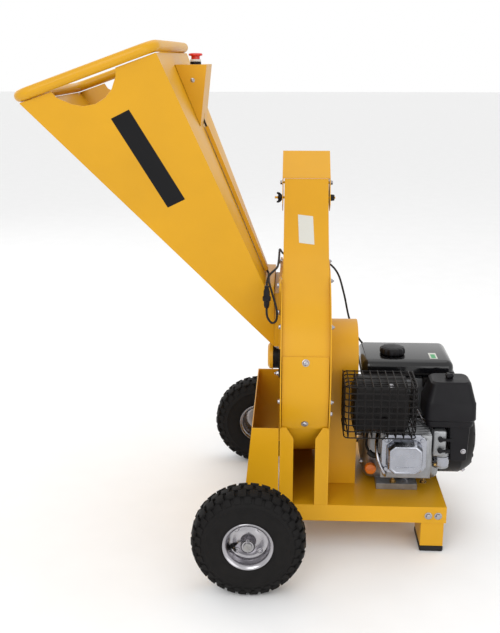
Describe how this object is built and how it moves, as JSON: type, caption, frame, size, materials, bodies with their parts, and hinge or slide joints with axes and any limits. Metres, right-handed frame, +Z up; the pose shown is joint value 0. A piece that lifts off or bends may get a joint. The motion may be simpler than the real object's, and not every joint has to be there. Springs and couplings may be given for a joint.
{
  "type": "wood chipper",
  "caption": "Wheeled petrol wood chipper with a flared feed hopper, a disc drum, a curved discharge chute with a tilting hood and a belt-driven engine.",
  "frame": {"origin": "on the floor under the middle of the machine's overall box", "axes": "+Z up; +X from the hopper to the engine, square to the axle; +Y from the near wheel to the far wheel, along the axle"},
  "size_m": [1.1074, 0.825, 1.246],
  "materials": {
    "yellow_paint": "semi-gloss powder coat",
    "black_paint": "satin",
    "black_plastic": "satin moulded",
    "black_rubber": "matt",
    "tyre": "matt",
    "zinc_plate": "bright zinc plate",
    "bare_steel": "machined",
    "cast_aluminium": "as cast",
    "red_plastic": "gloss",
    "orange_plastic": "satin"
  },
  "bodies": {
    "chassis": {"access_cover": "yellow_paint", "air_cleaner_base": "black_plastic", "air_cleaner_cover": "black_plastic", "axle": "bare_steel", "axle_box": "yellow_paint", "base_tray": "yellow_paint", "bearing_cap": "yellow_paint", "bearing_drive": "black_paint", "bearing_feed": "black_paint", "bed_knife": "bare_steel", "belt_guard": "yellow_paint", "cable_connector": "black_plastic", "cable_duct": "yellow_paint", "carburettor": "cast_aluminium", "crankcase": "cast_aluminium", "cylinder_head": "cast_aluminium", "discharge_chute": "yellow_paint", "drive_belt": "black_rubber", "drum_wrap": "yellow_paint", "fan_cover": "black_paint", "foot_pad_far": "black_rubber", "foot_pad_near": "black_rubber", "fuel_tank": "black_plastic", "hopper_rim_tube": "yellow_paint", "hopper_shell": "yellow_paint", "muffler": "black_paint", "muffler_guard": "black_paint", "rocker_cover": "cast_aluminium", "side_plate_drive": "yellow_paint", "side_plate_feed": "yellow_paint", "stop_cable_lower": "black_plastic", "stop_cable_upper": "black_plastic", "stop_switch_box": "yellow_paint", "stop_switch_collar": "black_plastic", "support_leg_far": "yellow_paint", "support_leg_near": "yellow_paint", "throat_flange": "yellow_paint"},
    "wheel_near": {"tyre_near": "tyre", "rim_near": "zinc_plate"},
    "wheel_far": {"tyre_far": "tyre", "rim_far": "zinc_plate"},
    "rotor": {"chipper_disc": "bare_steel", "knife_1": "bare_steel", "knife_2": "bare_steel", "rotor_shaft": "bare_steel", "driven_pulley": "bare_steel"},
    "engine_shaft": {"engine_crankshaft": "bare_steel", "clutch_pulley": "bare_steel"},
    "hood": {"deflector_hood": "yellow_paint"},
    "hood_wing_nut": {"wing_nut": "black_plastic"},
    "hood_clamp_nut": {"clamp_nut": "black_plastic"},
    "stop_push_button": {"stop_button": "red_plastic"},
    "tank_cap": {"fuel_cap": "black_plastic"},
    "filter_knob": {"air_cleaner_knob": "black_plastic"},
    "dipstick": {"oil_dipstick": "orange_plastic"},
    "throttle": {"throttle_lever": "black_paint"},
    "choke": {"choke_lever": "black_plastic"},
    "fuel_valve": {"fuel_valve_lever": "black_plastic"},
    "starter_grip": {"starter_handle": "black_plastic"},
    "ignition_switch": {"engine_switch": "red_plastic"}
  },
  "joints": [
    {"name": "wheel_near_spin", "type": "hinge", "parent": "chassis", "child": "wheel_near", "pos_m": [-0.02925, -0.37, 0.1325], "axis": [0, 1, 0], "continuous": true},
    {"name": "wheel_far_spin", "type": "hinge", "parent": "chassis", "child": "wheel_far", "pos_m": [-0.02925, 0.37, 0.1325], "axis": [0, 1, 0], "continuous": true},
    {"name": "rotor_spin", "type": "hinge", "parent": "chassis", "child": "rotor", "pos_m": [0.05875, 0.045, 0.445], "axis": [1, 0, 0], "continuous": true},
    {"name": "engine_shaft_spin", "type": "hinge", "parent": "chassis", "child": "engine_shaft", "pos_m": [0.19075, 0.045, 0.231], "axis": [1, 0, 0], "continuous": true},
    {"name": "hood_tilt", "type": "hinge", "parent": "chassis", "child": "hood", "pos_m": [0.09975, 0.1555, 0.88971], "axis": [1, 0, 0], "range_deg": [-35, 12]},
    {"name": "wing_nut_turn", "type": "hinge", "parent": "chassis", "child": "hood_wing_nut", "pos_m": [0.03595, 0.1407, 0.85206], "axis": [1, 0, 0], "range_deg": [-360, 360]},
    {"name": "clamp_nut_turn", "type": "hinge", "parent": "chassis", "child": "hood_clamp_nut", "pos_m": [0.16355, 0.1407, 0.85206], "axis": [1, 0, 0], "range_deg": [-360, 360]},
    {"name": "stop_button_press", "type": "slide", "parent": "chassis", "child": "stop_push_button", "axis": [0, 0, -1], "range_m": [0, 0.005], "stiffness_N_per_m": 800},
    {"name": "fuel_cap_turn", "type": "hinge", "parent": "chassis", "child": "tank_cap", "pos_m": [0.33475, 0.074, 0.4458], "axis": [0, 0, 1], "range_deg": [0, 90]},
    {"name": "filter_knob_turn", "type": "hinge", "parent": "chassis", "child": "filter_knob", "pos_m": [0.46275, -0.071, 0.4303], "axis": [0, 0, 1], "range_deg": [-360, 360]},
    {"name": "dipstick_turn", "type": "hinge", "parent": "chassis", "child": "dipstick", "pos_m": [0.27475, -0.0553, 0.178], "axis": [0, 1, 0], "range_deg": [-360, 360]},
    {"name": "throttle_swing", "type": "hinge", "parent": "chassis", "child": "throttle", "pos_m": [0.38275, -0.004, 0.346], "axis": [0, 0, 1], "range_deg": [-50, 5]},
    {"name": "choke_swing", "type": "hinge", "parent": "chassis", "child": "choke", "pos_m": [0.44075, -0.1283, 0.288], "axis": [0, 1, 0], "range_deg": [-60, 0]},
    {"name": "fuel_valve_swing", "type": "hinge", "parent": "chassis", "child": "fuel_valve", "pos_m": [0.44075, -0.1283, 0.258], "axis": [0, 1, 0], "range_deg": [0, 80]},
    {"name": "starter_pull", "type": "slide", "parent": "chassis", "child": "starter_grip", "axis": [0, 0, 1], "range_m": [0, 0.028], "stiffness_N_per_m": 300},
    {"name": "ignition_switch_turn", "type": "hinge", "parent": "chassis", "child": "ignition_switch", "pos_m": [0.48275, -0.0525, 0.261], "axis": [0, 1, 0], "range_deg": [-50, 0]}
  ],
  "couplings": [
    {"joint": "engine_shaft_spin", "follows": "rotor_spin", "ratio": 1.6667}
  ]
}
